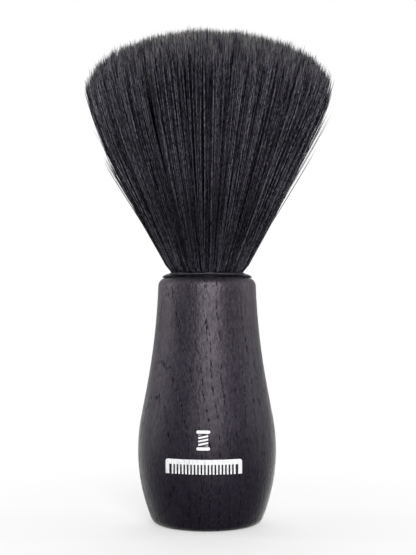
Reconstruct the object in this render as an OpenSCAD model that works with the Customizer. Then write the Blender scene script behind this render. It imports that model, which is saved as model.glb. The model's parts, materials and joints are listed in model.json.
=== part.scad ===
// Neck duster brush: a turned wooden handle that stands on its flat base, a moulded ferrule glued
// into a socket in its top, and a dense tuft of filaments that fans out into a soft dome.
// Millimetres. The origin is the centre of the flat base, +Z runs up the brush's axis, and the
// printed face looks along -Y.

/* [Handle] */
// Height of the handle from its base to its flat top
handle_h = 78.6; // [74:0.1:84]
// Largest diameter of the handle, at its belly
belly_d = 44.3; // [42:0.1:47]
// Height of the largest diameter above the base
belly_z = 23.5; // [21.5:0.5:25.5]
// Radius of the belly's side curve
belly_curve_r = 57; // [50:0.5:64]
// Lean of the straight taper between belly and neck, in degrees
taper_angle = 10.7; // [9.5:0.1:11.5]
// Height at which the taper turns into the hollow neck
neck_z = 43.6; // [40:0.2:50]
// Radius of the hollow neck's side curve
neck_curve_r = 216; // [190:1:270]
// Rounding of the shoulder, where the neck meets the flat top
shoulder_r = 2.8; // [1.2:0.1:3.2]
// Rounding of the foot, where the belly meets the base
foot_r = 3.2; // [1.5:0.1:5]

/* [Socket] */
// Diameter of the socket bored in the handle's top
socket_d = 24.6; // [24.5:0.05:25]
// Depth of the socket
socket_depth = 15; // [14.6:0.1:20]
// Width of the chamfer around the socket's mouth
socket_chamfer = 0.4; // [0.2:0.1:0.8]

/* [Ferrule] */
// Outside diameter of the ferrule's cup
cup_d = 24; // [23.8:0.05:24.2]
// Wall thickness of the cup
cup_wall = 0.75; // [0.6:0.05:0.9]
// Thickness of the cup's closed end
cup_floor = 1.2; // [0.8:0.1:1.6]
// Depth of the cup below the collar
cup_depth = 14.2; // [13.4:0.1:14.3]
// Diameter of the collar's rim
rim_d = 28.8; // [28:0.1:29.6]
// Thickness of the collar at its rim
rim_t = 0.35; // [0.25:0.05:0.6]
// Height of the collar's lip above the handle's top
lip_h = 1.6; // [1.4:0.1:2.2]
// Diameter of the collar's lip
lip_d = 24.2; // [24:0.1:24.6]
// Rounding of the lip's outer edge
lip_round = 0.3; // [0.2:0.05:0.4]
// Radius of the collar's crowned top face
collar_curve_r = 4; // [3.5:0.5:8]
// Number of glue grooves around the cup
groove_count = 3; // [2:1:4]
// Width of a glue groove
groove_w = 1.2; // [0.8:0.1:1.6]
// Depth of a glue groove
groove_t = 0.3; // [0.2:0.05:0.4]

/* [Tuft] */
// Height of the widest level of the tuft above the base
crown_z = 138.6; // [132:0.2:144]
// Largest diameter of the tuft, across the tips of the outer filaments
crown_d = 78.2; // [72:0.2:83]
// Rise of the domed tips above the widest level
dome_h = 18.6; // [14:0.1:22]
// Flare of the tuft's side at the ferrule, as sideways travel over height
flare = 0.52; // [0.49:0.005:0.56]
// How late the side turns upright: 2 turns evenly, 7 turns close to the tips
flare_power = 5.5; // [2:0.1:7]
// Distance from the ferrule's mouth at which the bending part takes over from the rooted part
bend_r = 15.6; // [15.5:0.1:18]
// Clearance between the bending part and the rooted part
bend_gap = 0.3; // [0.2:0.05:0.6]
// Thickness of the potting resin under the roots
resin_floor = 2; // [1.5:0.1:3]
// Height that the resin climbs around the roots
resin_rim = 3; // [2:0.1:3.5]
// Diameter of the bundle where it is tied
tied_d = 21.1; // [20.6:0.1:21.2]
// Number of turns of the binding cord
cord_turns = 4; // [2:1:5]
// Diameter of the binding cord
cord_d = 0.6; // [0.4:0.05:0.65]

/* [Print] */
// Thickness of the printed ink
ink_t = 0.08; // [0.05:0.01:0.12]
// Angle of the marks around the handle, in degrees
print_turn = -3; // [-10:0.5:10]
// Height of the comb's lower edge above the base
comb_z = 18.4; // [14:0.1:19.5]
// Length of the comb
comb_w = 23.4; // [20:0.2:26]
// Height of the comb, from spine to tooth tips
comb_h = 4.5; // [4:0.1:5]
// Number of fine teeth between the comb's two end guards
comb_teeth = 19; // [11:2:21]
// Height of the barber's pole mark's lower end above the base
pole_z = 25.7; // [25:0.1:26.2]
// Height of the barber's pole mark
pole_h = 6; // [5:0.1:6.4]
// Width of the pole's striped tube
pole_w = 3; // [2.4:0.1:3.4]

/* [Hidden] */

// Facets of a full turn: revolved bodies, large side curves and small edge roundings
turn_fn = 180;
curve_fn = 720;
round_fn = 48;
// A cut runs past the face it opens by this much
over = 1;
// Clearance between pieces that are glued or seated
seat = 0.01;

// Belly arc: its centre's radius, and where the straight taper leaves it
belly_c = belly_d / 2 - belly_curve_r;
taper_r = belly_c + belly_curve_r * cos(taper_angle);
taper_z = belly_z + belly_curve_r * sin(taper_angle);

// Neck arc: where the taper ends, and the arc's centre
neck_r = taper_r - (neck_z - taper_z) * tan(taper_angle);
neck_c = neck_r + neck_curve_r * cos(taper_angle);
neck_cz = neck_z + neck_curve_r * sin(taper_angle);

// Shoulder rounding: its centre, and where it leaves the neck arc
shoulder_cz = handle_h - shoulder_r;
shoulder_reach = neck_curve_r + shoulder_r;
shoulder_c = neck_c - sqrt(pow(shoulder_reach, 2) - pow(neck_cz - shoulder_cz, 2));
shoulder_z = shoulder_cz + shoulder_r * (neck_cz - shoulder_cz) / shoulder_reach;

// Foot rounding: its centre, and where the belly arc takes over
foot_reach = belly_curve_r - foot_r;
foot_c = belly_c + sqrt(pow(foot_reach, 2) - pow(belly_z - foot_r, 2));
foot_z = belly_z - belly_curve_r * (belly_z - foot_r) / foot_reach;

// Ferrule radii
socket_r = socket_d / 2;
cup_r = cup_d / 2;
bore_r = cup_r - cup_wall;
rim_r = rim_d / 2;
lip_r = lip_d / 2;

// Collar's crowned face: the centre of its arc, found from the arc's two ends
collar_top = [lip_r, lip_h - lip_round];
collar_low = [rim_r, rim_t];
collar_run = collar_low - collar_top;
collar_out = [-collar_run[1], collar_run[0]] / norm(collar_run);
collar_sink = sqrt(pow(collar_curve_r, 2) - pow(norm(collar_run) / 2, 2));
collar_c = (collar_top + collar_low) / 2 - collar_out * collar_sink;

// Glue: spacing of the grooves, and how far the film ends below the socket's chamfer
groove_step = (cup_depth - cup_floor) / (groove_count + 1);
film_end = 0.5;

// Roots: heights inside the cup, relative to the top of the handle and so below zero
cup_inside_z = cup_floor - cup_depth;
root_z = cup_inside_z + resin_floor;
cord_z = cup_inside_z + resin_floor + resin_rim + cord_d;
cord_step = cord_d + 2 * seat;
tied_end_z = cord_z + cord_turns * cord_step + cord_d;
tied_r = tied_d / 2;
root_r = bore_r - 2 * seat;

// Tuft: the tilt's pivot is the centre of the ferrule's mouth
pivot_z = handle_h + lip_h;
crown_r = crown_d / 2;
rise = crown_z - pivot_z;
flare_loss = lip_r + flare * rise - crown_r;
side_steps = 20;
dome_steps = 24;

// Barber's pole mark: two caps, and between them a tube cut into slanted stripes
cap_w = 1.4 * pole_w;
cap_h = 0.16 * pole_h;
cap_gap = cap_h / 3;
tube_h = pole_h - 2 * (cap_h + cap_gap);
stripe_h = 0.16 * tube_h;
stripe_pitch = 0.3 * tube_h;
stripe_climb = 0.18 * tube_h;
stripes_each_way = 2;

// Comb mark: a spine, two wide end guards, and fine teeth evenly spaced between them
spine_h = 0.34 * comb_h;
guard_w = 0.05 * comb_w;
tooth_h = comb_h - spine_h / 2;
tooth_pitch = (comb_w - 2 * guard_w) / (comb_teeth + 1);
tooth_w = tooth_pitch / 2;

// Radius of the tuft's side at a height above the ferrule's mouth
function side_r(h) = lip_r + flare * h - flare_loss * pow(h / rise, flare_power);

// Points up the tuft's side, then over its domed tips to the axis
function side_points() = [
  for (i = [1:side_steps]) let (h = rise * i / side_steps) [side_r(h), h]
];
function dome_points() = [
  for (i = [1:dome_steps]) let (a = 90 * i / dome_steps)
    [crown_r * cos(a), rise + dome_h * sin(a)]
];

// A rectangle in the (radius, height) half plane, given by two opposite corners
module ring_section(low, high) {
  translate(low) square(high - low);
}

// The part of a disc that lies inside a rectangle
module arc_section(centre, radius, low, high, facets) {
  intersection() {
    translate(centre) circle(r = radius, $fn = facets);
    ring_section(low, high);
  }
}

// Half outline of the handle: foot, belly, taper, neck and shoulder stacked on one another. The
// taper dips into the belly, so that rounding leaves no gap between them.
module handle_outline() {
  ring_section([0, 0], [foot_c, foot_z]);
  arc_section([foot_c, foot_r], foot_r, [foot_c, -over], [foot_c + 2 * foot_r, foot_z], round_fn);
  arc_section([belly_c, belly_z], belly_curve_r, [0, foot_z], [belly_d, taper_z], curve_fn);
  polygon([[0, taper_z - over], [taper_r - over, taper_z - over], [taper_r, taper_z],
    [neck_r, neck_z], [0, neck_z]]);
  difference() {
    ring_section([0, neck_z], [neck_r + over, shoulder_z]);
    translate([neck_c, neck_cz]) circle(r = neck_curve_r, $fn = curve_fn);
  }
  ring_section([0, shoulder_z], [shoulder_c, handle_h]);
  arc_section([shoulder_c, shoulder_cz], shoulder_r, [shoulder_c, shoulder_z],
    [shoulder_c + 2 * shoulder_r, handle_h + over], round_fn);
}

// Turned handle with the socket for the ferrule
module handle() {
  color("#39343a")
    difference() {
      rotate_extrude($fn = turn_fn) handle_outline();
      translate([0, 0, handle_h - socket_depth])
        cylinder(r = socket_r, h = socket_depth + over, $fn = turn_fn);
      translate([0, 0, handle_h - socket_chamfer])
        cylinder(r1 = socket_r, r2 = socket_r + socket_chamfer + over, h = socket_chamfer + over,
          $fn = turn_fn);
    }
}

// Lower edge of one glue groove, below the handle's top
function groove_z(i) = cup_floor - cup_depth + groove_step * i - groove_w / 2;

// Half section of the ferrule: a cup, and a collar that crowns from its rim up to a rounded lip
module ferrule_section() {
  difference() {
    union() {
      ring_section([0, -cup_depth], [cup_r, cup_inside_z]);
      ring_section([bore_r, cup_inside_z], [cup_r, 0]);
      ring_section([bore_r, 0], [lip_r - lip_round, lip_h]);
      arc_section([lip_r, lip_h] - [lip_round, lip_round], lip_round,
        [lip_r - lip_round, lip_h - lip_round], [lip_r + over, lip_h + over], round_fn);
      arc_section(collar_c, collar_curve_r, [lip_r - lip_round, 0], [rim_r, lip_h - lip_round],
        turn_fn);
    }
    for (i = [1:groove_count])
      ring_section([cup_r - groove_t, groove_z(i)], [cup_r + over, groove_z(i) + groove_w]);
  }
}

// Moulded ferrule: collar and cup in one piece
module ferrule() {
  color("#1d1c20")
    translate([0, 0, handle_h])
      rotate_extrude($fn = turn_fn) ferrule_section();
}

// Film of glue between cup and socket, keyed into the cup's grooves
module ferrule_adhesive() {
  film_top = socket_chamfer + film_end;
  color("#8a8272")
    translate([0, 0, handle_h])
      rotate_extrude($fn = turn_fn) {
        ring_section([0, seat - socket_depth], [socket_r - seat, -cup_depth - seat]);
        ring_section([cup_r + seat, -cup_depth - seat], [socket_r - seat, -film_top]);
        for (i = [1:groove_count])
          ring_section([cup_r - groove_t + seat, groove_z(i) + seat],
            [cup_r + seat, groove_z(i) + groove_w - seat]);
      }
}

// Potting resin that locks the filaments' roots in the bottom of the cup
module bristle_plug() {
  color("#b9a77c")
    translate([0, 0, handle_h])
      rotate_extrude($fn = turn_fn)
        difference() {
          ring_section([0, cup_inside_z + seat], [bore_r - seat, root_z + resin_rim]);
          ring_section([-over, root_z], [tied_r + seat, root_z + resin_rim + over]);
        }
}

// Cord wound around the bundle just above the resin
module knot_binding() {
  color("#d8d2c4")
    translate([0, 0, handle_h])
      for (i = [1:cord_turns])
        translate([0, 0, cord_z + (i - 1) * cord_step])
          rotate_extrude($fn = turn_fn)
            translate([tied_r + seat + cord_d / 2, 0]) circle(d = cord_d, $fn = round_fn);
}

// Rooted part of the tuft: tied in the cup, spreading over the lip, and domed about the pivot so
// that the bending part can turn over it
module bristle_root() {
  color("#26252a")
    rotate_extrude($fn = turn_fn) {
      translate([0, handle_h])
        polygon([
          [0, root_z + seat], [tied_r, root_z + seat], [tied_r, tied_end_z],
          [root_r, tied_end_z + (root_r - tied_r)], [root_r, lip_h], [0, lip_h]
        ]);
      translate([0, pivot_z])
        intersection() {
          polygon(concat([[0, 0], [root_r, 0]], side_points(), [[0, rise]]));
          circle(r = bend_r, $fn = turn_fn);
        }
    }
}

// Bending part of the tuft: flares to its widest level and ends in a dome
module bristle_fan() {
  color("#2e2d33")
    translate([0, 0, pivot_z])
      rotate_extrude($fn = turn_fn)
        difference() {
          polygon(concat([[0, 0], [root_r, 0]], side_points(), dome_points()));
          circle(r = bend_r + bend_gap, $fn = turn_fn);
        }
}

// A shell of ink that hugs the front of the belly, cut to a flat mark drawn on the XZ plane
module printed() {
  intersection() {
    rotate([90, 0, print_turn]) linear_extrude(height = belly_d) children();
    rotate_extrude($fn = turn_fn)
      difference() {
        arc_section([belly_c, belly_z], belly_curve_r + seat + ink_t, [over, foot_z],
          [belly_d, taper_z], curve_fn);
        translate([belly_c, belly_z]) circle(r = belly_curve_r + seat, $fn = curve_fn);
      }
  }
}

// A bar with fully rounded ends, lying along X and centred on the origin
module round_bar(length, width) {
  square([length - width, width], center = true);
  for (side = [-1, 1])
    translate([side * (length - width) / 2, 0]) circle(d = width, $fn = round_fn);
}

// One slanted stripe, wider than the tube that it is cut from
module stripe() {
  polygon([
    [-pole_w, -stripe_climb - stripe_h / 2], [pole_w, stripe_climb - stripe_h / 2],
    [pole_w, stripe_climb + stripe_h / 2], [-pole_w, -stripe_climb + stripe_h / 2]
  ]);
}

// Barber's pole mark
module printed_pole() {
  color("white")
    printed()
      translate([0, pole_z + pole_h / 2]) {
        for (side = [-1, 1])
          translate([0, side * (pole_h - cap_h) / 2]) round_bar(cap_w, cap_h);
        intersection() {
          square([pole_w, tube_h], center = true);
          for (i = [-stripes_each_way:stripes_each_way])
            translate([0, i * stripe_pitch]) stripe();
        }
      }
}

// Comb mark, teeth downward
module printed_comb() {
  color("white")
    printed()
      translate([0, comb_z]) {
        translate([0, comb_h - spine_h / 2]) round_bar(comb_w, spine_h);
        for (left = [-comb_w / 2, comb_w / 2 - guard_w])
          translate([left, 0]) square([guard_w, tooth_h]);
        for (i = [1:comb_teeth])
          translate([(i - (comb_teeth + 1) / 2) * tooth_pitch - tooth_w / 2, 0])
            square([tooth_w, tooth_h]);
      }
}

handle();
ferrule();
ferrule_adhesive();
bristle_plug();
knot_binding();
bristle_root();
bristle_fan();
printed_pole();
printed_comb();
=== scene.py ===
"""Looks of the neck duster brush, built around its CAD frame. Metres, +Z up, print facing -Y."""

import json
import math

import bpy
import numpy as np
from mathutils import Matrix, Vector
from mathutils.kdtree import KDTree

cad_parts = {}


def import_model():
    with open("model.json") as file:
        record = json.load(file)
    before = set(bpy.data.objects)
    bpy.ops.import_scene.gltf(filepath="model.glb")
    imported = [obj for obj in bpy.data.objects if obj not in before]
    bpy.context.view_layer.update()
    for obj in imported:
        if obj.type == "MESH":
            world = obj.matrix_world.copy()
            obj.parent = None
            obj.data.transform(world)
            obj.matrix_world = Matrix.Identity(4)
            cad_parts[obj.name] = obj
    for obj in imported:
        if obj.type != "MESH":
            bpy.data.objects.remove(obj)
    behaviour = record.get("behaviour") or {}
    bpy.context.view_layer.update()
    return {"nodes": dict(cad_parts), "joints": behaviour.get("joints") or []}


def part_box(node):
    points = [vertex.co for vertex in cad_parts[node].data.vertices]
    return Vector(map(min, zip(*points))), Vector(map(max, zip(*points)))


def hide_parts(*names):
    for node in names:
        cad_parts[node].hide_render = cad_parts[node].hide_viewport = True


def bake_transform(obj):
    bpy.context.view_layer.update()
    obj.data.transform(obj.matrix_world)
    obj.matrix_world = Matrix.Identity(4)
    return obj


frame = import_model()
MM = 0.001

# ---------------------------------------------------------------- sizes from the frame
PIVOT = Vector(frame["joints"][0]["pos_m"])
FAN_LO, FAN_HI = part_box("bristle_fan")
CROWN_R = (FAN_HI.x - FAN_LO.x) / 2
# The dome's height over the crown, and the crown's over the ferrule's mouth
DOME_RISE = 18.6 * MM
RISE = FAN_HI.z - DOME_RISE - PIVOT.z
# The flank leaves the lip straight, then turns in towards the crown
LIP_R = 12.1 * MM
LIP_PINCH = 0.9 * MM
FLARE = 0.52
FLARE_POWER = 5.5
FLARE_LOSS = LIP_R + FLARE * RISE - CROWN_R


# ---------------------------------------------------------------- node graphs
class Graph:
    """A small builder for one material's nodes."""

    def __init__(self, name):
        self.material = bpy.data.materials.new(name)
        self.material.use_nodes = True
        self.tree = self.material.node_tree
        self.shader = self.tree.nodes["Principled BSDF"]

    def put(self, socket, value):
        if isinstance(value, bpy.types.NodeSocket):
            self.tree.links.new(value, socket)
        elif value is not None:
            socket.default_value = value

    def node(self, kind, inputs=None, **settings):
        made = self.tree.nodes.new(kind)
        for key, value in settings.items():
            setattr(made, key, value)
        for key, value in (inputs or {}).items():
            self.put(made.inputs[key], value)
        return made

    def math(self, operation, a, b=None, c=None, clamp=False):
        made = self.node("ShaderNodeMath", operation=operation, use_clamp=clamp)
        for i, value in enumerate((a, b, c)):
            self.put(made.inputs[i], value)
        return made.outputs[0]

    def vector(self, operation, a, b=None, scale=None):
        made = self.node("ShaderNodeVectorMath", operation=operation)
        self.put(made.inputs[0], a)
        self.put(made.inputs[1], b)
        if scale is not None:
            self.put(made.inputs["Scale"], scale)
        return made

    def position(self):
        """The point in the row frame, in millimetres."""
        place = self.node("ShaderNodeTexCoord").outputs["Object"]
        return self.vector("SCALE", place, scale=1 / MM).outputs[0]

    def height(self, point):
        return self.node("ShaderNodeSeparateXYZ", {0: point}).outputs[2]

    def stretched(self, point, scale):
        return self.vector("MULTIPLY", point, scale).outputs[0]

    def noise(self, point, detail=3.0, rough=0.55, size=1.0):
        made = self.node(
            "ShaderNodeTexNoise",
            {"Vector": point, "Scale": size, "Detail": detail, "Roughness": rough},
        )
        return made.outputs[0]

    def ramp(self, value, low, high, to_low=0.0, to_high=1.0, smooth=True):
        """Takes low..high to to_low..to_high and holds the ends beyond."""
        made = self.node(
            "ShaderNodeMapRange",
            {1: low, 2: high, 3: to_low, 4: to_high},
            interpolation_type="SMOOTHSTEP" if smooth else "LINEAR",
        )
        self.put(made.inputs[0], value)
        return made.outputs[0]

    def mix(self, factor, a, b):
        made = self.node("ShaderNodeMix", data_type="RGBA")
        self.put(made.inputs[0], factor)
        self.put(made.inputs[6], a if isinstance(a, bpy.types.NodeSocket) else (*a, 1))
        self.put(made.inputs[7], b if isinstance(b, bpy.types.NodeSocket) else (*b, 1))
        return made.outputs[2]

    def blend(self, factor, a, b):
        return self.node("ShaderNodeMixShader", {0: factor, 1: a, 2: b}).outputs[0]

    def attribute(self, name):
        return self.node("ShaderNodeAttribute", attribute_name=name).outputs["Fac"]

    def bump(self, height, depth, before=None):
        """A bump whose height of 1 stands depth metres proud."""
        made = self.node("ShaderNodeBump", {"Strength": 1.0, "Distance": depth, "Height": height})
        if before is not None:
            self.put(made.inputs["Normal"], before)
        return made.outputs[0]

    def finish(self, colour, roughness, normal=None, **extra):
        self.put(self.shader.inputs["Base Color"], colour)
        self.put(self.shader.inputs["Roughness"], roughness)
        self.put(self.shader.inputs["Normal"], normal)
        for key, value in extra.items():
            self.put(self.shader.inputs[key.replace("_", " ")], value)
        return self.material


def wood_material():
    """Open-pored ash, stained black: growth rings, rows of early-wood pores, fibre sheen."""
    g = Graph("stained_ash")
    p = g.position()
    height = g.height(p)
    # The blank was sawn well away from the pith, so the rings cross it as gently curved sheets
    pith, tilt, ring_width = (74.0, 3.0, 0.0), (0.03, 0.1, math.radians(-39)), 3.2
    drift = g.noise(g.stretched(p, (0.035, 0.035, 0.016)), 2.0)
    sway = g.noise(g.stretched(p, (0.2, 0.2, 0.07)), 2.0)
    log = g.node(
        "ShaderNodeMapping",
        {"Vector": p, "Location": pith, "Rotation": tilt},
        vector_type="POINT",
    ).outputs[0]
    xyz = g.node("ShaderNodeSeparateXYZ", {0: log})
    squares = [g.math("POWER", xyz.outputs[axis], 2.0) for axis in (0, 1)]
    reach = g.math("SQRT", g.math("ADD", *squares))
    reach = g.math("MULTIPLY_ADD", drift, 9.0, reach)
    reach = g.math("MULTIPLY_ADD", sway, 2.4, reach)
    # Each ring opens with a band of pores and closes with dense late wood
    ring = g.math("FRACT", g.math("DIVIDE", reach, ring_width))
    early = g.math("MULTIPLY", g.ramp(ring, 0.0, 0.04), g.ramp(ring, 0.13, 0.24, 1.0, 0.0))
    late = g.ramp(ring, 0.35, 0.95)

    def pores(scale, low, high):
        """Long cells: 1 inside a pore, 0 from the distance high outward."""
        cells = g.node(
            "ShaderNodeTexVoronoi",
            {"Vector": g.stretched(p, scale), "Scale": 1.0, "Randomness": 1.0},
            feature="F1",
        )
        return g.ramp(cells.outputs["Distance"], low, high, 1.0, 0.0)

    row = g.math("MULTIPLY", pores((2.3, 2.3, 0.45), 0.24, 0.6), early)
    scattered = g.math("MULTIPLY", pores((1.7, 1.7, 0.4), 0.06, 0.2), 0.4)
    pore = g.math("MAXIMUM", row, scattered)
    fibre = g.noise(g.stretched(p, (2.6, 2.6, 0.14)), 4.0, 0.6)
    flake = g.noise(g.stretched(p, (2.2, 2.2, 1.0)), 3.0, 0.65)
    mottle = g.noise(g.stretched(p, (0.9, 0.9, 0.4)), 3.0, 0.6)
    stain = g.noise(g.stretched(p, (0.12, 0.12, 0.05)), 2.0)
    tone = g.math("MULTIPLY_ADD", fibre, 0.6, g.math("MULTIPLY", stain, 0.5))
    deep, pale = (0.0058, 0.005, 0.0095), (0.024, 0.021, 0.033)
    late_wood, pore_floor = (0.011, 0.0088, 0.012), (0.0022, 0.0018, 0.0028)
    wood = g.mix(g.ramp(tone, 0.3, 0.85), deep, pale)
    wood = g.mix(g.math("MULTIPLY", late, 0.35), wood, late_wood)
    # Painted shade: the colour darkens towards the bottom of the belly, where little light comes up
    # from below
    wood = g.mix(g.ramp(height, 8, 42, 0.5, 0.0), wood, deep)
    colour = g.mix(pore, wood, pore_floor)
    # The stain lies rough and dull on the belly; hands have burnished the neck
    sheen = g.ramp(g.math("MULTIPLY_ADD", mottle, 0.4, g.math("MULTIPLY", flake, 0.6)), 0.36, 0.66)
    polish = g.math("ADD", g.ramp(height, 20, 70, 0.46, 0.86), g.ramp(height, 67, 79, 0.0, 0.36))
    sheen = g.math("MULTIPLY", g.math("MULTIPLY_ADD", sheen, 0.6, 0.34), polish)
    sheen = g.math("MULTIPLY", sheen, g.math("MULTIPLY_ADD", pore, -0.68, 1.0))
    rough = g.ramp(flake, 0.25, 0.75, 0.38, 0.6, smooth=False)
    rough = g.math("MAXIMUM", rough, g.math("MULTIPLY", pore, 0.75))
    normal = g.bump(fibre, 0.035 * MM)
    normal = g.bump(flake, 0.08 * MM, normal)
    normal = g.bump(mottle, 0.12 * MM, normal)
    normal = g.bump(g.math("MULTIPLY", pore, -1.0), 0.045 * MM, normal)
    g.put(g.shader.inputs["Specular Tint"], (1.0, 0.87, 0.98, 1))
    # Fine dust catches the light at the belly's edges
    dust = g.math("MULTIPLY", g.ramp(height, 8, 60, 0.5, 0.1), g.math("SUBTRACT", 1.0, pore))
    g.put(g.shader.inputs["Sheen Weight"], dust)
    g.put(g.shader.inputs["Sheen Roughness"], 0.32)
    return g.finish(colour, rough, normal, Specular_IOR_Level=sheen)


def plastic_material():
    """Satin black moulding with faint turned lines and handling dust."""
    g = Graph("ferrule_black")
    p = g.position()
    lines = g.noise(g.stretched(p, (0.2, 0.2, 14.0)), 2.0)
    cloud = g.noise(g.stretched(p, (0.5, 0.5, 0.5)), 3.0)
    height = g.height(p)
    black, dusty, highlight_grey = (0.0035, 0.0034, 0.0045), (0.009, 0.0085, 0.011), (0.1, 0.096, 0.112)
    # A painted highlight: a thin light line on the cove under the lip, where the edge catches the
    # light; the flange below stays dull
    line = g.math("MULTIPLY", g.ramp(height, 79.3, 79.5), g.ramp(height, 79.6, 79.85, 1.0, 0.0))
    line = g.math("MULTIPLY", line, g.ramp(cloud, 0.3, 0.6, 0.6, 1.0))
    colour = g.mix(line, g.mix(g.ramp(cloud, 0.35, 0.8), black, dusty), highlight_grey)
    rough = g.ramp(cloud, 0.3, 0.75, 0.24, 0.36, smooth=False)
    shine = g.ramp(height, 79.0, 79.6, 0.03, 0.16)
    return g.finish(colour, rough, g.bump(lines, 0.006 * MM), Specular_IOR_Level=shine)


def ink_material():
    """White pad print: even, slightly dry, thin where it bridges the wood's grain."""
    g = Graph("print_white")
    p = g.position()
    dry = g.noise(g.stretched(p, (3.0, 3.0, 0.5)), 3.0)
    thin, full = (0.62, 0.61, 0.63), (0.9, 0.9, 0.91)
    colour = g.mix(g.ramp(dry, 0.2, 0.62), thin, full)
    return g.finish(colour, g.ramp(dry, 0.3, 0.7, 0.42, 0.6), g.bump(dry, 0.02 * MM))


def filament_material(name):
    """Black nylon filament: cool grey along its length, paler and drier in its feathered tip."""
    g = Graph(name)
    along, tone = g.attribute("along"), g.attribute("tone")
    # Painted light and shade: noise along each filament brightens and darkens it every few
    # millimetres, as crimp would turn it in and out of the light, and paints glints on it
    own = g.math("MULTIPLY", g.attribute("lot"), 900.0)
    crimp = g.node("ShaderNodeCombineXYZ", {0: own, 1: g.math("MULTIPLY", along, 58.0), 2: 0.0})
    speck = g.noise(crimp.outputs[0], 2.0)
    painted_glint = g.ramp(speck, 0.66, 0.72, 0.0, 0.5)
    shade = g.math("MULTIPLY", tone, g.math("MULTIPLY_ADD", g.ramp(speck, 0.37, 0.66), 1.2, 0.22))
    dark, light = (0.001, 0.0009, 0.0024), (0.176, 0.167, 0.206)
    tip, painted_glint_grey = (0.37, 0.365, 0.3), (0.36, 0.36, 0.38)
    body = g.mix(g.ramp(shade, 0.02, 1.0, smooth=False), dark, light)
    # Painted glints: pale grey specks where the crimp would catch the light
    body = g.mix(painted_glint, body, painted_glint_grey)
    # Painted shade: the lower half is darker, most of all just above the roots, under the flare's
    # overhang
    root = g.ramp(along, 0.0, 0.16, 0.3, 0.55)
    body = g.mix(g.math("MULTIPLY", root, g.ramp(along, 0.24, 0.56, 1.0, 0.0)), body, dark)
    # Some wisps end in pale, feathered tips
    paleness = g.math("MULTIPLY_ADD", g.attribute("wisp"), 2.6, -0.85)
    pale = g.math("MULTIPLY", g.ramp(along, 0.945, 1.0), paleness, clamp=True)
    colour = g.mix(pale, body, tip)
    rough = g.ramp(along, 0.86, 1.0, 0.28, 0.42)
    shine = g.math("MULTIPLY_ADD", shade, 1.3, g.ramp(along, 0.955, 1.0, 0.05, 0.6), clamp=True)
    g.put(g.shader.inputs["Specular Tint"], (0.92, 0.88, 1.0, 1))
    return g.finish(colour, rough, g.bump(speck, 0.01 * MM), Specular_IOR_Level=shine)


def core_material():
    """Shaded depth of the tuft: packed filaments as fine dark streaks that run up it."""
    g = Graph("tuft_depth")
    turn = g.attribute("around")
    along = g.attribute("along")
    streak = g.node(
        "ShaderNodeCombineXYZ",
        {0: g.math("MULTIPLY", turn, 420.0), 1: g.math("MULTIPLY", along, 5.0), 2: 0.0},
    ).outputs[0]
    grain = g.noise(streak, 3.0)
    deep, faint = (0.0011, 0.0009, 0.0018), (0.005, 0.0044, 0.0075)
    colour = g.mix(g.ramp(grain, 0.35, 0.75), deep, faint)
    return g.finish(colour, 0.6, g.bump(grain, 0.2 * MM), Specular_IOR_Level=0.3)


def hidden_material(name, low, high, scale, rough):
    """Glue, resin and cord inside the socket."""
    g = Graph(name)
    cloud = g.noise(g.stretched(g.position(), scale), 3.0)
    colour = g.mix(g.ramp(cloud, 0.3, 0.7), low, high)
    return g.finish(colour, g.ramp(cloud, 0.3, 0.7, rough, rough + 0.2), g.bump(cloud, 0.03 * MM))


def wear(node, material):
    data = frame["nodes"][node].data
    data.materials.clear()
    data.materials.append(material)
    for face in data.polygons:
        face.material_index = 0


wear("handle", wood_material())
wear("ferrule", plastic_material())
INK = ink_material()
wear("printed_pole", INK)
wear("printed_comb", INK)
wear(
    "ferrule_adhesive",
    hidden_material("glue_film", (0.3, 0.25, 0.17), (0.5, 0.43, 0.31), (0.9, 0.9, 0.9), 0.3),
)
wear(
    "bristle_plug",
    hidden_material("potting_resin", (0.4, 0.3, 0.14), (0.58, 0.47, 0.27), (0.5, 0.5, 0.5), 0.15),
)
wear(
    "knot_binding",
    hidden_material("cord_fibre", (0.5, 0.46, 0.38), (0.78, 0.74, 0.65), (2.5, 2.5, 2.5), 0.7),
)


# ---------------------------------------------------------------- the tuft
SEED = 20260
rng = np.random.default_rng(SEED)
GOLDEN = math.pi * (3 - math.sqrt(5))
# Corners of one filament's section
SIDES = 3


def sunflower(count, jitter):
    """Points spread evenly over the unit disc, each moved by up to a share of their spacing."""
    k = np.arange(count) + 0.5
    radius, angle = np.sqrt(k / count), k * GOLDEN
    points = np.stack([radius * np.cos(angle), radius * np.sin(angle)], 1)
    points += rng.normal(0, jitter / math.sqrt(count), points.shape)
    size = np.linalg.norm(points, axis=1, keepdims=True)
    return points / np.maximum(size, 1)


def nearest(points, centres):
    tree = KDTree(len(centres))
    for i, centre in enumerate(centres):
        tree.insert((*centre, 0), i)
    tree.balance()
    return np.array([tree.find((*point, 0))[1] for point in points])


def smooth(x, low, high):
    x = np.clip((x - low) / (high - low), 0, 1)
    return x * x * (3 - 2 * x)


def side_radius(h):
    """The tuft's outline above the ferrule's mouth, pinched where it leaves the lip."""
    flared = LIP_R + FLARE * h - FLARE_LOSS * np.clip(h / RISE, 0, None) ** FLARE_POWER
    return flared - LIP_PINCH * np.exp(-np.maximum(h, 0) / LIP_PINCH)


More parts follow.
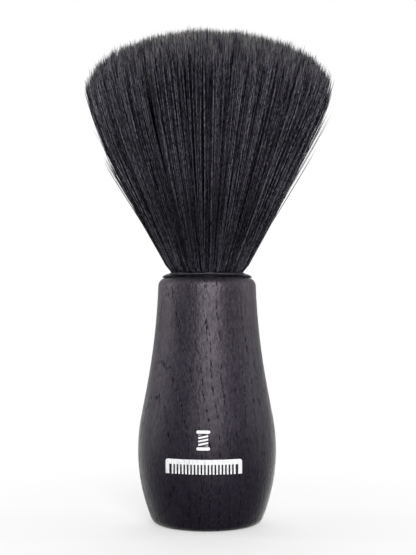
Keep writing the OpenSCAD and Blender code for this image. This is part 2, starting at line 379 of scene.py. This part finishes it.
# Filaments lean together in wisps, wisps in clumps. Pull is the share of the way to the middle,
# lift moves the tips up, lean tips a whole clump, sink draws a wisp into the tuft, tone pales it.
CLUMPS = sunflower(620, 0.5)
CLUMP_PULL = rng.uniform(0.15, 0.55, len(CLUMPS))
CLUMP_LIFT = rng.normal(0, 0.32 * MM, len(CLUMPS))
CLUMP_LEAN = rng.normal(0, 0.012, CLUMPS.shape)
WISPS = sunflower(12500, 0.6)
WISP_PULL = rng.uniform(0.4, 0.85, len(WISPS))
WISP_LIFT = rng.normal(0, 0.36 * MM, len(WISPS))
WISP_SINK = 0.15 * rng.beta(1.0, 2.6, len(WISPS))
WISP_TONE = rng.beta(0.9, 1.6, len(WISPS))
FULLNESS = 0.03
# No filament strays further than this from the axis, in shares of the tuft's radius
EDGE = 1.03
# Tips start this much under the CAD dome, before their lifts and chance are added
TIP_DROP = 0.4 * MM
# The share of filaments that wander further from their wisp than the rest
LOOSE_SHARE = 0.05
# Near the rim the tuft also parts into upright sheaves with narrow slits between them. Turn is how
# far a sheaf's middle lies from its even place, in shares of the spacing.
SHEAVES = 110
sheaf_rng = np.random.default_rng(SEED + 1)
SHEAF_TURN = sheaf_rng.uniform(-0.3, 0.3, SHEAVES)
SHEAF_PULL = sheaf_rng.uniform(0.12, 0.5, SHEAVES)
SHEAF_LIFT = sheaf_rng.normal(0, 0.45 * MM, SHEAVES)


def parted(rest, near_rim):
    """Places turned about the axis towards the middle of their sheaf, and which sheaf that is."""
    step = 2 * math.pi / SHEAVES
    angle = np.arctan2(rest[:, 1], rest[:, 0])
    sheaf = np.round(angle / step).astype(int)
    middle = (sheaf + SHEAF_TURN[sheaf % SHEAVES]) * step
    sheaf %= SHEAVES
    angle = angle + (middle - angle) * SHEAF_PULL[sheaf] * near_rim
    radial = np.linalg.norm(rest, axis=1)
    return np.stack([radial * np.cos(angle), radial * np.sin(angle)], 1), sheaf


def strand_paths(rest, knots):
    """Points along each filament, its tone and its paleness. rest is its place on a unit disc."""
    count = len(rest)
    t = knots[None, :, None]
    clump, wisp = nearest(rest, CLUMPS), nearest(rest, WISPS)
    gather = smooth(knots, 0.02, 0.6)[None, :, None]
    gather_early = smooth(knots, 0.0, 0.35)[None, :, None]
    share = np.minimum(np.linalg.norm(rest, axis=1), 1)
    near_rim = smooth(share, 0.5, 0.85)
    in_sheaf, sheaf = parted(rest, near_rim)
    pull = (CLUMP_PULL[clump] * (0.5 + 0.5 * smooth(share, 0.6, 1)))[:, None, None]
    where = rest[:, None, :] + (CLUMPS[clump] - rest)[:, None, :] * pull * gather
    where = where + (in_sheaf - rest)[:, None, :] * gather_early
    to_wisp = (WISPS[wisp] - rest) * WISP_PULL[wisp][:, None]
    where = where + to_wisp[:, None, :] * gather_early
    sink = WISP_SINK[wisp][:, None, None] * (1 - 0.5 * smooth(knots, 0.8, 1.0))[None, :, None]
    where = where * (1 + (FULLNESS - sink) * gather_early)
    where = where + CLUMP_LEAN[clump][:, None, :] * np.clip(t, 0, 1) ** 2
    loose = np.where(rng.random(count) < LOOSE_SHARE, rng.uniform(0.015, 0.045, count), 0.006)
    wander = rng.normal(0, 1, (count, 2)) * loose[:, None]
    where = where + wander[:, None, :] * np.clip(t, 0, 1) ** 1.5
    reach = np.linalg.norm(where, axis=2, keepdims=True)
    where = where * np.minimum(1, EDGE / np.maximum(reach, EDGE))
    tip_h = RISE - TIP_DROP + DOME_RISE * np.sqrt(np.clip(1 - share**2, 0, 1))
    tip_h = tip_h + SHEAF_LIFT[sheaf] * near_rim
    tip_h = tip_h + CLUMP_LIFT[clump] + WISP_LIFT[wisp] + rng.uniform(-1.5, 0.8, count) * MM
    h = knots[None, :] * tip_h[:, None]
    # A slight lean to +X at the crown, as the hand has left it
    lean = rest[:, :1] * (0.018 * smooth(knots, 0.6, 0.9) - 0.012 * np.sin(math.pi * knots))[None]
    radius = side_radius(knots[None, :] * RISE) * (1 + lean)
    wave = rng.uniform(0, 2 * math.pi, (count, 2))
    pace = rng.uniform(0.5, 1.6, (count, 1)) * 2 * math.pi
    size = rng.uniform(0.05, 0.3, (count, 1)) * MM
    swing = size * np.clip(knots[None, :], 0, 1)
    x = where[:, :, 0] * radius + swing * np.sin(knots[None, :] * pace + wave[:, :1])
    y = where[:, :, 1] * radius + swing * np.sin(knots[None, :] * pace + wave[:, 1:])
    tone = np.clip(0.2 * WISP_TONE[wisp] + 0.95 * rng.beta(0.5, 1.2, count), 0, 1)
    pale = WISP_TONE[wisp] * (0.94 - 0.34 * smooth(share, 0.5, 0.95))
    return np.stack([x, y, PIVOT.z + h], 2), tone, pale


TAPER_AT = [0, 0.5, 0.82, 0.92, 0.97, 1]
TAPER = [1.0, 1.0, 0.95, 0.75, 0.5, 0.1]


def strands(name, paths, tone, wisp, knots, thick, material):
    """Closed three-sided filaments that taper to a point, in one mesh."""
    count, rings = paths.shape[0], paths.shape[1] - 1
    along = np.gradient(paths, axis=1)
    along /= np.linalg.norm(along, axis=2, keepdims=True)
    # Straight out from the axis; the hair's breadth added keeps it from being nothing on the axis
    out = paths.copy()
    out[:, :, 2] = 0
    out += 1e-6
    side = np.cross(along, out)
    side /= np.maximum(np.linalg.norm(side, axis=2, keepdims=True), 1e-12)
    front = np.cross(side, along)
    size = thick[:, None] * np.interp(knots, TAPER_AT, TAPER)[None]
    phase = rng.uniform(0, 2 * math.pi, count)
    corner = phase[:, None] + np.arange(SIDES)[None] * 2 * math.pi / SIDES
    across = (np.cos(corner)[:, None, :] * size[:, :rings, None])[..., None]
    ahead = (np.sin(corner)[:, None, :] * size[:, :rings, None])[..., None]
    ring = (
        paths[:, :rings, None, :]
        + side[:, :rings, None, :] * across
        + front[:, :rings, None, :] * ahead
    )
    per = rings * SIDES + 1
    points = np.concatenate([ring.reshape(count, rings * SIDES, 3), paths[:, -1:, :]], 1)
    first = (np.arange(count) * per)[:, None]
    quads = []
    for r in range(rings - 1):
        for s in range(SIDES):
            a, b = r * SIDES + s, r * SIDES + (s + 1) % SIDES
            quads.append([a, b, b + SIDES, a + SIDES])
    last = (rings - 1) * SIDES
    tris = [[last + s, last + (s + 1) % SIDES, per - 1] for s in range(SIDES)] + [[2, 1, 0]]
    quads = (first[:, :, None] + np.array(quads)[None]).reshape(-1, 4)
    tris = (first[:, :, None] + np.array(tris)[None]).reshape(-1, 3)
    made = mesh_object(name, points.reshape(-1, 3), quads, tris, material)
    ring_t = np.append(np.repeat(knots[:rings], SIDES), knots[-1])
    point_attribute(made, "along", np.tile(ring_t, count))
    point_attribute(made, "tone", np.repeat(tone, per))
    point_attribute(made, "lot", np.repeat(rng.random(count), per))
    point_attribute(made, "wisp", np.repeat(wisp, per))
    return made


def mesh_object(name, points, quads, tris, material):
    mesh = bpy.data.meshes.new(name)
    mesh.vertices.add(len(points))
    mesh.vertices.foreach_set("co", points.astype(np.float32).ravel())
    corners = np.concatenate([quads.ravel(), tris.ravel()])
    starts = np.concatenate(
        [np.arange(len(quads)) * 4, len(quads) * 4 + np.arange(len(tris)) * 3]
    )
    mesh.loops.add(len(corners))
    mesh.loops.foreach_set("vertex_index", corners.astype(np.int32))
    mesh.polygons.add(len(starts))
    mesh.polygons.foreach_set("loop_start", starts.astype(np.int32))
    mesh.polygons.foreach_set("use_smooth", np.ones(len(starts), bool))
    mesh.update(calc_edges=True)
    mesh.validate()
    mesh.materials.append(material)
    made = bpy.data.objects.new(name, mesh)
    bpy.context.scene.collection.objects.link(made)
    return made


def point_attribute(obj, name, values):
    layer = obj.data.attributes.new(name, "FLOAT", "POINT")
    layer.data.foreach_set("value", np.asarray(values, np.float32))


def finish_tuft_piece(obj):
    """Stands for the CAD tuft, whose parts it hides."""
    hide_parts("bristle_root", "bristle_fan")
    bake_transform(obj)


FILAMENT = filament_material("nylon_filament")
# Where a filament's rings stand, in shares of its length. Inside, only the upper part is made.
FULL_KNOTS = np.array([-0.03, 0.004, 0.045, 0.14, 0.3, 0.48, 0.66, 0.82, 0.92, 0.97, 1.0])
TOP_KNOTS = np.array([0.6, 0.74, 0.86, 0.93, 0.97, 1.0])
TOTAL = 36000
THICK = (0.09, 0.17)
OUTER = 0.8
SECTORS = 8
TOP_PARTS = 4

rest = sunflower(TOTAL, 0.5)
depth = np.linalg.norm(rest, axis=1)
outer = rest[depth >= OUTER]
inner = rest[depth < OUTER]
sector = ((np.arctan2(outer[:, 1], outer[:, 0]) / (2 * math.pi)) % 1 * SECTORS).astype(int)


def tuft_part(name, group, knots):
    thick = rng.uniform(*THICK, len(group)) * MM
    paths, tone, wisp = strand_paths(group, knots)
    finish_tuft_piece(strands(name, paths, tone, wisp, knots, thick, FILAMENT))


for i in range(SECTORS):
    tuft_part(f"bristles_side_{i + 1}", outer[sector == i], FULL_KNOTS)
for i in range(TOP_PARTS):
    tuft_part(f"bristles_top_{i + 1}", inner[i::TOP_PARTS], TOP_KNOTS)


def tuft_core():
    """Dark ribbed body under the loose filaments, so that the tuft is dense all through."""
    around, up = 360, 40
    inset, sink, neck = 0.8, 8.5 * MM, 10.6 * MM
    turn = np.arange(around) / around
    t = np.concatenate([np.linspace(-0.02, 1, up), 1 + np.linspace(0, 1, up)[1:-1]])
    wall = t <= 1
    angle = turn * 2 * math.pi
    rib = 0.018 * np.sin(angle * 74) + 0.012 * np.sin(angle * 113 + 1)
    side_h = np.clip(t, None, 1) * RISE
    dome = np.clip(t - 1, 0, 1) * math.pi / 2
    radius = np.where(wall, side_radius(side_h), CROWN_R * np.cos(dome)) * inset
    radius = np.where(t < 0.03, neck, radius)
    height = side_h + np.where(wall, 0, DOME_RISE * np.sin(dome))
    height = height - sink * np.clip(t, 0, 1) ** 2
    ring_r = radius[:, None] * (1 + rib[None] * np.clip(t, 0, 1)[:, None])
    points = np.stack(
        [
            ring_r * np.cos(angle[None]),
            ring_r * np.sin(angle[None]),
            np.repeat(PIVOT.z + height[:, None], around, 1),
        ],
        2,
    ).reshape(-1, 3)
    top = PIVOT.z + RISE + DOME_RISE - sink
    points = np.concatenate([points, [[0, 0, top]], [[0, 0, points[0, 2]]]])
    rows = len(t)
    j = np.arange(around)
    k = (j + 1) % around
    start = np.arange(rows - 1)[:, None] * around
    quads = np.stack([start + j, start + k, start + around + k, start + around + j], 2)
    quads = quads.reshape(-1, 4)
    high = (rows - 1) * around
    tris = np.concatenate(
        [
            np.stack([high + j, high + k, np.full(around, rows * around)], 1),
            np.stack([k, j, np.full(around, rows * around + 1)], 1),
        ]
    )
    made = mesh_object("bristle_core", points, quads, tris, core_material())
    point_attribute(made, "along", np.append(np.repeat(t / 2, around), [1, 0]))
    point_attribute(made, "around", np.append(np.tile(turn, rows), [0, 0]))
    return made


finish_tuft_piece(tuft_core())


def stray_filaments():
    """Small sheaves of filaments that run straight, clear of the tuft's flanks, and end short."""
    sheaves, each = 44, 4
    count = sheaves * each
    knots = np.array([-0.02, 0.02, 0.12, 0.28, 0.46, 0.64, 0.82, 0.93, 1.0])
    sheaf = np.arange(count) // each
    around = (np.arange(sheaves) + rng.uniform(-0.35, 0.35, sheaves)) / sheaves
    turn = 2 * math.pi * around[sheaf] + rng.normal(0, 0.03, count)
    length = rng.uniform(0.6, 0.93, sheaves)[sheaf] * rng.uniform(0.92, 1.03, count)
    clear = rng.uniform(1.0, 3.6, sheaves)[sheaf] * rng.uniform(0.5, 1.15, count) * MM
    h = knots[None] * RISE * length[:, None]
    root, end = side_radius(0.0), side_radius(length * RISE) + clear
    t = np.clip(knots, 0, 1)[None]
    radius = root + (end - root)[:, None] * t
    radius += 0.15 * MM * np.sin(t * 5 + turn[:, None] * 7) * t
    twist = turn[:, None] + rng.normal(0, 0.025, (count, 1)) * knots[None]
    paths = np.stack([radius * np.cos(twist), radius * np.sin(twist), PIVOT.z + h], 2)
    thick = rng.uniform(0.055, 0.085, count) * MM
    tone = rng.uniform(0.1, 0.5, count)
    return strands("bristle_strays", paths, tone, tone, knots, thick, FILAMENT)


finish_tuft_piece(stray_filaments())


# ---------------------------------------------------------------- floor, light and camera
def floor():
    """White floor that carries a soft shadow near the brush and fades into the white beyond. What
    it sends up at the brush is dim, as from a table under a lamp that is aimed at the brush."""
    below = (0, 0, -0.2 * MM)
    bpy.ops.mesh.primitive_circle_add(vertices=96, radius=6, fill_type="NGON", location=below)
    made = bpy.context.object
    made.name = "floor"
    g = Graph("floor_white")
    place = g.position()
    cloud = g.noise(g.stretched(place, (0.004, 0.004, 0.004)), 2.0)
    away = g.vector("LENGTH", place).outputs["Value"]
    g.finish(g.mix(cloud, (0.86, 0.86, 0.86), (0.9, 0.9, 0.9)), 0.7, Specular_IOR_Level=0.1)
    white = g.node("ShaderNodeEmission", {"Color": (1, 1, 1, 1), "Strength": 1.0}).outputs[0]
    dim = g.node("ShaderNodeBsdfDiffuse", {"Color": (0.18, 0.18, 0.18, 1)}).outputs[0]
    glow = g.node("ShaderNodeEmission", {"Color": (1, 1, 1, 1), "Strength": 0.7}).outputs[0]
    # Millimetres behind the brush's axis over which the glow comes in, and from it to full white
    behind, around = (0, 50), (40, 150)
    back = g.ramp(g.node("ShaderNodeSeparateXYZ", {0: place}).outputs[1], *behind)
    dim = g.blend(back, dim, glow)
    seen = g.blend(g.ramp(away, *around, 0.5, 1.0), g.shader.outputs[0], white)
    path = g.node("ShaderNodeLightPath").outputs["Is Camera Ray"]
    out = g.tree.nodes["Material Output"]
    g.put(out.inputs["Surface"], g.blend(path, dim, seen))
    made.data.materials.append(g.material)


def area_light(name, place, aim, size, watts):
    data = bpy.data.lights.new(name, "AREA")
    data.shape = "RECTANGLE"
    data.size, data.size_y = size
    data.energy = watts
    made = bpy.data.objects.new(name, data)
    bpy.context.scene.collection.objects.link(made)
    made.location = place
    made.rotation_euler = (Vector(aim) - Vector(place)).to_track_quat("-Z", "Y").to_euler()
    made.visible_camera = False


def world():
    """White surroundings; what lights the brush is brighter behind it than in front."""
    sky = bpy.data.worlds.new("studio")
    bpy.context.scene.world = sky
    sky.use_nodes = True
    tree = sky.node_tree
    tree.nodes.clear()
    out = tree.nodes.new("ShaderNodeOutputWorld")
    mix = tree.nodes.new("ShaderNodeMixShader")
    path = tree.nodes.new("ShaderNodeLightPath")
    seen = tree.nodes.new("ShaderNodeBackground")
    seen.inputs[0].default_value = (1, 1, 1, 1)
    lit = tree.nodes.new("ShaderNodeBackground")
    place = tree.nodes.new("ShaderNodeTexCoord")
    split = tree.nodes.new("ShaderNodeSeparateXYZ")
    ramp = tree.nodes.new("ShaderNodeMapRange")
    tree.links.new(place.outputs["Generated"], split.inputs[0])
    tree.links.new(split.outputs[1], ramp.inputs[0])
    front, behind = 0.2, 0.85
    for i, value in enumerate((-1.0, 1.0, front, behind)):
        ramp.inputs[i + 1].default_value = value
    tree.links.new(ramp.outputs[0], lit.inputs[1])
    tree.links.new(path.outputs["Is Camera Ray"], mix.inputs[0])
    tree.links.new(lit.outputs[0], mix.inputs[1])
    tree.links.new(seen.outputs[0], mix.inputs[2])
    tree.links.new(mix.outputs[0], out.inputs[0])


def camera():
    """The long side of the picture spans the sensor. The camera is level with the handle's neck."""
    away, height = 377 * MM, 68.9 * MM
    tilt = math.radians(1.485)
    data = bpy.data.cameras.new("camera")
    data.sensor_width = 36
    data.lens = 75.8
    data.clip_start = 0.01
    made = bpy.data.objects.new("camera", data)
    bpy.context.scene.collection.objects.link(made)
    made.location = (0.3 * MM, -away, height)
    made.rotation_euler = (math.pi / 2 + tilt, 0, 0)
    bpy.context.scene.camera = made


floor()
world()
area_light("key", (0.1, -0.85, 0.3), (0, 0, 0.08), (0.3, 0.42), 8)
area_light("top", (0.0, 0.5, 0.8), (0, 0, 0.1), (0.7, 0.7), 3.2)
for side in (-1, 1):
    watts = 0.54 - 0.08 * side
    area_light(f"side_{side}", (0.45 * side, 0.04, 0.16), (0, 0, 0.11), (0.12, 0.36), watts)
camera()
bpy.context.scene.view_settings.view_transform = "Standard"
